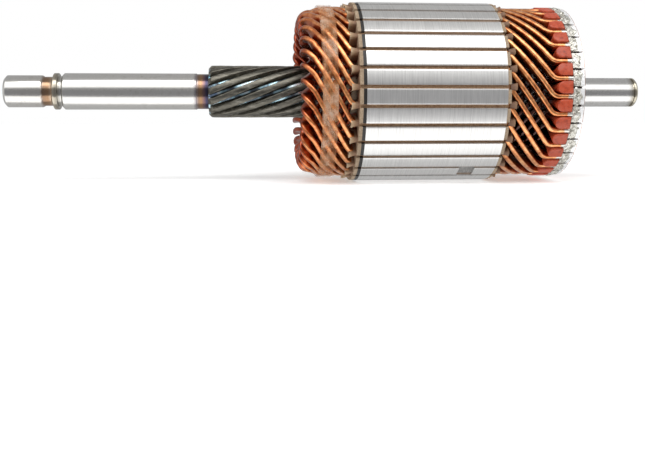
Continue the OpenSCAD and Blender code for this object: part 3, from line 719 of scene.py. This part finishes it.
def bar_frames(path):
    """A frame for each station of a bar: across its thickness, up its height, and on."""
    places = [polar(x, a, r) for x, a, r, _ in path]
    frames = []
    for i, (_, angle, _, tilt) in enumerate(path):
        on = (places[min(i + 1, len(path) - 1)] - places[max(i - 1, 0)]).normalized()
        up = Vector((-math.sin(tilt), 0, 0)) + math.cos(tilt) * polar(0, angle, 1)
        across = on.cross(up).normalized()
        on = up.cross(across)
        m = Matrix((across, up, on)).transposed().to_4x4()
        m.translation = places[i]
        frames.append(m)
    return frames


def rounded_section(t, h, edge_r, corner_steps=4):
    """Corner points of a flat bar's section, with its edges rounded."""
    points = []
    for cx, cy, a0 in ((1, 1, 0), (-1, 1, 90), (-1, -1, 180), (1, -1, 270)):
        for k in range(corner_steps + 1):
            a = math.radians(a0 + 90 * k / corner_steps)
            points.append(Vector((cx * (t / 2 - edge_r) + edge_r * math.cos(a),
                                  cy * (h / 2 - edge_r) + edge_r * math.sin(a), 0)))
    return points


def sweep(bm, frames, section):
    """Extrudes a closed section from frame to frame and closes its ends."""
    edges = first = wire(bm, [frames[0] @ p for p in section], closed=True)
    for before, after in zip(frames, frames[1:]):
        edges, verts = extruded_edges(bm, edges)
        bmesh.ops.transform(bm, matrix=after @ before.inverted(), verts=verts)
    for end in (first, edges):
        bmesh.ops.contextual_create(bm, geom=end)


one_bar = bmesh.new()
sweep(one_bar, bar_frames(coil_path()), rounded_section(BAR_T, BAR_H, BAR_EDGE_R))
for i in range(SLOTS):
    bm = one_bar.copy()
    bmesh.ops.transform(bm, matrix=turn(i * PITCH), verts=bm.verts)
    settle(bm, f"bar_{i + 1:02d}", copper, [f"coil_{i + 1:02d}"], smooth=50)
one_bar.free()

bm = bmesh.new()
revolve(bm, [(-37.7, 30.2), (-37.7, 30.45), (-37.2, 30.6), (-35.1, 30.62), (-33.0, 30.6),
             (-32.5, 30.45), (-32.5, 30.2), (-37.7, 30.2)], steps=128)
settle(bm, "band", glass_band, ["winding_band"], smooth=50)

CUFF_HALF, CUFF_WALL, CUFF_FOLD = 0.96, 0.2, 0.45
CUFF_TOP, CUFF_FOOT = 30.6, 25.4
CUFF_STEPS = 5
LIP_FLARE, SLEEVE_FLARE, OTHER_SIDE = 0.24, 0.1, -0.2
LIFT, LIFTED_FROM = 0.2, 29
RUFFLE, RUFFLES_PER_MM = 0.10, 0.9


def folded_cuffs(name, node, side, root, tip, flare):
    """Paper sleeves that leave the slots round the bars: open at the bottom, pressed to
    the bar at the root, and with the free lip of the mouth bent away from the bar."""
    bm = bmesh.new()
    half, top, foot, fold = CUFF_HALF, CUFF_TOP, CUFF_FOOT, CUFF_FOLD
    inner, under = half - CUFF_WALL, top - CUFF_WALL
    across = [-half, -half, fold - half, half - fold, half, half,
              inner, inner, inner - fold, fold - inner, -inner, -inner]
    height = [foot, top - fold, top, top, top - fold, foot,
              foot, top - fold, under, under, top - fold, foot]
    edges = first = wire(bm, [(side * root, -h, a) for a, h in zip(across, height)],
                         closed=True)
    for k in range(1, CUFF_STEPS + 1):
        edges, verts = extruded_edges(bm, edges)
        out = k / CUFF_STEPS
        bend = LIP_FLARE if k == CUFF_STEPS else SLEEVE_FLARE
        for v in verts:
            v.co.x = side * (root + (tip - root) * out)
            lip = 1.0 if v.co.z * flare > 0 else OTHER_SIDE
            v.co.z += lip * flare * bend * out
            v.co.y -= LIFT * out if v.co.y < -LIFTED_FROM else 0
    for end in (first, edges):
        bmesh.ops.contextual_create(bm, geom=end)
    bmesh.ops.subdivide_edges(bm, edges=[e for e in bm.edges if e.calc_length() > 2],
                              cuts=3)
    for v in bm.verts:
        ruffle = noise.noise(v.co * RUFFLES_PER_MM)
        v.co.z += RUFFLE * ruffle * (abs(v.co.x) - root) / (tip - root)
    round_the_slots(bm)
    settle(bm, name, cuff_paper, [node], smooth=50)


folded_cuffs("drive_end_paper_cuffs", "drive_end_cuffs", -1, 25.6, 28.3, -1)
folded_cuffs("commutator_end_paper_cuffs", "commutator_end_cuffs", 1, 24.5, 26.7, 1)


# ---------- commutator ----------

HUB_BORE_R, BARREL_R, FACE_BORE_R = 8.95, 21.3, 12.47
SEGMENT_BACK, HUB_END = 47.07, 50.4
RIB_SIZE = (3.15, 17.9, 0.72)       # length, depth and thickness
RIB_PLACE = (47.62, -20.65, 0)
BLOCK_GAP, BLOCK_STRETCH, BLOCK_DEPTH, BLOCK_TAPER = 1.0, 4, 9.4, 0.52
LUMP_SIZE = (1.75, 2.5, 0.8)
LUMP_X, LUMP_R = 47.55, 29.75
LUMP_SWELL, LUMP_BUMPS = 0.5, 0.25

bm = bmesh.new()
revolve(bm, [(CASTELLATION_START, HUB_BORE_R), (CASTELLATION_START, BARREL_R),
             (SEGMENT_BACK, BARREL_R), (SEGMENT_BACK, FACE_BORE_R),
             (HUB_END, FACE_BORE_R), (HUB_END, HUB_BORE_R),
             (CASTELLATION_START, HUB_BORE_R)])
soften(bm, sharp_edges(bm, 40), 0.2)
settle(bm, "hub_barrel", moulding, ["commutator_hub"])

# Ribs between the segments, a little below them and painted near black as the shade in the
# gaps between them
bm = bmesh.new()
rib = bmesh.ops.create_cube(bm, size=1.0)["verts"]
bmesh.ops.scale(bm, vec=RIB_SIZE, verts=rib)
bmesh.ops.translate(bm, vec=RIB_PLACE, verts=rib)
round_the_slots(bm)
settle(bm, "hub_ribs", rib_moulding, ["commutator_hub"])

# Castellations: each has a round nose towards the winding, is flat towards the risers,
# and is tapered inwards between the bars
half_top = math.radians(PITCH / 2) * HUB_R - BLOCK_GAP
nose_middle = CASTELLATION_START + half_top
bm = bmesh.new()
bmesh.ops.create_circle(bm, cap_ends=True, segments=36, radius=half_top)
for v in bm.verts:
    v.co.x += nose_middle
    if v.co.x > nose_middle + 0.01:
        v.co.x += BLOCK_STRETCH
        v.co.y = math.copysign(half_top, v.co.y) if abs(v.co.y) > 0.01 else v.co.y
bmesh.ops.bisect_plane(bm, geom=list(bm.verts) + list(bm.edges) + list(bm.faces),
                       plane_co=(CASTELLATION_END, 0, 0), plane_no=(1, 0, 0),
                       clear_outer=True)
bmesh.ops.remove_doubles(bm, verts=bm.verts, dist=0.01)
foot = verts_of(bmesh.ops.extrude_face_region(bm, geom=list(bm.faces))["geom"])
bmesh.ops.translate(bm, vec=(0, 0, -BLOCK_DEPTH), verts=foot)
for v in foot:
    v.co.y *= BLOCK_TAPER
soften(bm, [e for e in sharp_edges(bm, 50) if min(v.co.z for v in e.verts) > -0.01],
       0.4, segments=3)
bmesh.ops.translate(bm, vec=(0, 0, HUB_R), verts=bm.verts)
stand_on_shaft(bm, bm.verts)
round_the_slots(bm)
settle(bm, "castellations", moulding, ["commutator_hub"])

# Lumps of solder where the bars enter the risers, no two alike
bm = bmesh.new()
for i in range(SLOTS):
    lump = bmesh.ops.create_icosphere(bm, subdivisions=4, radius=1.0)["verts"]
    seed = Vector((i * 7.1, 3.7, 1.9))
    for v in lump:
        v.co *= (1 + LUMP_SWELL * noise.noise(v.co * 1.5 + seed)
                 + LUMP_BUMPS * noise.noise(v.co * 4 + seed))
    bmesh.ops.scale(bm, vec=LUMP_SIZE, verts=lump)
    bmesh.ops.translate(bm, vec=(LUMP_X, 0, LUMP_R), verts=lump)
    stand_on_shaft(bm, lump)
    bmesh.ops.transform(bm, matrix=turn(SLOT_TURN + (i + 0.5) * PITCH), verts=lump)
settle(bm, "solder_lumps", solder, ["solder_beads"], smooth=80)

# These keep the shape that they have in the frame
for name, material in (("slot_liners", slot_paper), ("slot_separators", slot_paper),
                       ("commutator_bush", ground_steel),
                       ("commutator_segments", segment_copper)):
    for place in nodes[name].material_slots:
        place.material = material


# ---------- stage, light and camera ----------

FLOOR_WIDTH, FLOOR_GAP = 2.4, 0.0002
ROOM_STRENGTH = 1.7
KEY_AIM = (CORE_X - 0.03, 0, 0)
KEY_PLACE = (CORE_X - 0.03, -0.35, 0.55)
KEY_SIZE, KEY_POWER = (0.7, 0.3), 1.6
CAMERA_PLACE = (-63.94, -312.47, -6.30)     # millimetres from the middle of the core
CAMERA_DOWN, CAMERA_ASIDE = 4, 5.278
SENSOR, LENS, SHIFT = 36.0, 48.66307, -0.097


def lay_floor():
    """A white floor that shows to the camera, with the shadow. The part is lit and
    mirrored by the room below the horizon, so no other ray meets the floor."""
    bm = bmesh.new()
    bmesh.ops.create_grid(bm, x_segments=1, y_segments=1, size=FLOOR_WIDTH / 2)
    bmesh.ops.translate(bm, vec=(0, 0, -CORE_R * MM - FLOOR_GAP), verts=bm.verts)
    mesh = bpy.data.meshes.new("floor")
    bm.to_mesh(mesh)
    bm.free()
    floor = bpy.data.objects.new("floor", mesh)
    scene.collection.objects.link(floor)
    paper = bpy.data.materials.new("white_floor")
    paper.use_nodes = True
    tree = paper.node_tree
    sheet = tree.nodes["Principled BSDF"]
    sheet.inputs["Base Color"].default_value = srgb("#f4f4f4")
    sheet.inputs["Roughness"].default_value = 0.9
    sheet.inputs["Specular IOR Level"].default_value = 0.1
    sheet.inputs["Emission Color"].default_value = (1, 1, 1, 1)
    sheet.inputs["Emission Strength"].default_value = 0.35
    add(tree, "MixShader", {0: add(tree, "LightPath").outputs["Is Camera Ray"],
                            1: add(tree, "BsdfTransparent"), 2: sheet},
        to=tree.nodes["Material Output"].inputs["Surface"])
    floor.data.materials.append(paper)


def light_room():
    """Round the shaft, from straight behind, under the object and back over the top: two
    bright soft boxes with a dark gap between them on the near side, and a grey room
    behind. Towards the two ends of the shaft the room is an even pale grey, and the
    camera itself sees plain white."""
    world = bpy.data.worlds.new("studio")
    scene.world = world
    world.use_nodes = True
    tree = world.node_tree
    heading = add(tree, "TexCoord").outputs["Generated"]
    parts = add(tree, "SeparateXYZ", {"Vector": heading}).outputs
    near = add(tree, "Math", {0: parts["Y"], 1: -1.0}, operation="MULTIPLY")
    about = add(tree, "Math", {0: parts["Z"], 1: near}, operation="ARCTAN2")
    part_turn = add(tree, "MapRange", {"Value": about, "From Min": -math.pi,
                                       "From Max": math.pi})
    room = add(tree, "ValToRGB", {"Fac": part_turn}, ramp=[
        (0.0, "#909090"), (1.0, "#909090"), (0.245, "#a0a0a0"), (0.268, "#ffffff"),
        (0.388, "#ffffff"), (0.405, "#727274"), (0.500, "#6e6e70"), (0.558, "#787878"),
        (0.585, "#ffffff"), (0.692, "#ffffff"), (0.715, "#8e8e8e")])
    sideways = add(tree, "Math", {0: parts["X"]}, operation="ABSOLUTE")
    aside = add(tree, "MapRange", {"Value": sideways, "From Min": 0.75,
                                   "From Max": 0.95})
    even = add(tree, "Mix", {"Factor": aside, "A": room, "B": srgb("#aaaaaa")},
               data_type="RGBA")
    lit = add(tree, "VectorMath", {0: even, "Scale": ROOM_STRENGTH}, operation="SCALE")
    add(tree, "Mix", {"Factor": add(tree, "LightPath").outputs["Is Camera Ray"],
                      "A": lit, "B": (1, 1, 1, 1)},
        to=tree.nodes["Background"].inputs["Color"], data_type="RGBA")


def hang_soft_lamp(name, place, aim, size, power):
    data = bpy.data.lights.new(name, "AREA")
    data.shape = "RECTANGLE"
    data.size, data.size_y = size
    data.energy = power
    lamp = bpy.data.objects.new(name, data)
    scene.collection.objects.link(lamp)
    lamp.location = place
    lamp.rotation_euler = (Vector(aim) - Vector(place)).to_track_quat("-Z", "Y").to_euler()


lay_floor()
light_room()
hang_soft_lamp("key", KEY_PLACE, KEY_AIM, KEY_SIZE, KEY_POWER)

camera_data = bpy.data.cameras.new("camera")
camera_data.sensor_width = SENSOR
camera_data.lens = LENS
camera_data.shift_y = SHIFT
camera_data.clip_start = 0.01
camera = bpy.data.objects.new("camera", camera_data)
scene.collection.objects.link(camera)
camera.location = (CORE_X + CAMERA_PLACE[0] * MM, CAMERA_PLACE[1] * MM,
                   CAMERA_PLACE[2] * MM)
camera.rotation_euler = (math.radians(90 - CAMERA_DOWN), 0, math.radians(-CAMERA_ASIDE))
scene.camera = camera
